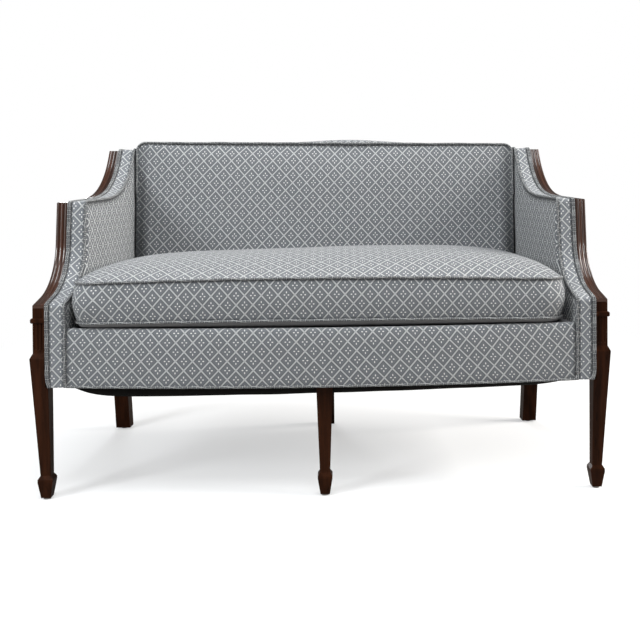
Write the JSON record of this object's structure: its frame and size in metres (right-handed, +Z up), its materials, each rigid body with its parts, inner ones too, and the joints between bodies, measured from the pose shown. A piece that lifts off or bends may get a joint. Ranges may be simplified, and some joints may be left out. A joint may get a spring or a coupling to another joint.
{
  "type": "settee",
  "caption": "Upholstered settee with reeded wooden arms sweeping down from a straight padded back, a bowed seat front, tapering legs on spade feet and a loose boxed cushion.",
  "frame": {"origin": "on the floor under the middle of the settee's outer box", "axes": "+X to the sitter's left (the viewer's right), +Y from the seat front to the back, +Z up"},
  "size_m": [1.3, 0.6472, 0.833],
  "materials": {
    "mahogany": "dark red mahogany, French polished",
    "frame_wood": "plain sawn hardwood",
    "glide_metal": "nickel plated, worn",
    "steel": "bright steel wire and screws",
    "zip_metal": "dull brass",
    "lattice_fabric": "woven upholstery, grey blue with a pale diamond lattice",
    "welt_fabric": "the same cloth cut on the bias over cord",
    "deck_cloth": "plain grey deck cloth",
    "padding": "cotton felt and foam",
    "burlap": "jute",
    "cambric": "black cambric",
    "zip_tape": "woven grey tape"
  },
  "bodies": {
    "frame": {"right_front_leg": "mahogany", "left_front_leg": "mahogany", "right_rear_post": "mahogany", "left_rear_post": "mahogany", "right_arm_post": "mahogany", "left_arm_post": "mahogany", "right_arm_sweep": "mahogany", "left_arm_sweep": "mahogany", "front_middle_leg": "mahogany", "rear_middle_leg": "mahogany", "right_seat_rail": "frame_wood", "left_seat_rail": "frame_wood", "right_arm_tack_rail": "frame_wood", "left_arm_tack_rail": "frame_wood", "front_seat_rail": "frame_wood", "rear_seat_rail": "frame_wood", "centre_stretcher": "frame_wood", "corner_blocks": "frame_wood", "frame_dowels": "frame_wood", "crest_rail": "frame_wood", "lower_back_rail": "frame_wood", "back_upright": "frame_wood", "foot_glides": "glide_metal", "corner_block_screws": "steel", "leg_bolts": "steel", "seat_springs": "steel", "spring_clips": "steel", "right_arm_inside_cover": "lattice_fabric", "left_arm_inside_cover": "lattice_fabric", "right_arm_facing": "lattice_fabric", "left_arm_facing": "lattice_fabric", "right_outside_arm_panel": "lattice_fabric", "left_outside_arm_panel": "lattice_fabric", "front_band_cover": "lattice_fabric", "back_cover": "lattice_fabric", "outside_back_panel": "lattice_fabric", "right_arm_welt": "welt_fabric", "left_arm_welt": "welt_fabric", "right_arm_double_welt": "welt_fabric", "left_arm_double_welt": "welt_fabric", "front_band_welt": "welt_fabric", "back_welt": "welt_fabric", "deck_cover": "deck_cloth", "right_arm_pad": "padding", "left_arm_pad": "padding", "back_pad": "padding", "deck_pad": "padding", "front_edge_roll": "padding", "front_band_pad": "padding", "right_arm_burlap": "burlap", "left_arm_burlap": "burlap", "deck_burlap": "burlap", "back_webbing": "burlap", "dust_cover": "cambric"},
    "cushion": {"cushion_core": "padding", "cushion_cover": "lattice_fabric", "cushion_top_welt": "welt_fabric", "cushion_bottom_welt": "welt_fabric", "zipper_tape": "zip_tape"},
    "zip_slider": {"zipper_slider": "zip_metal"}
  },
  "joints": [
    {"name": "cushion_lift", "type": "slide", "parent": "frame", "child": "cushion", "axis": [0, 0, 1], "range_m": [0, 0.3]},
    {"name": "zip_slider_travel", "type": "slide", "parent": "cushion", "child": "zip_slider", "axis": [1, 0, 0], "range_m": [0, 0.63]}
  ]
}
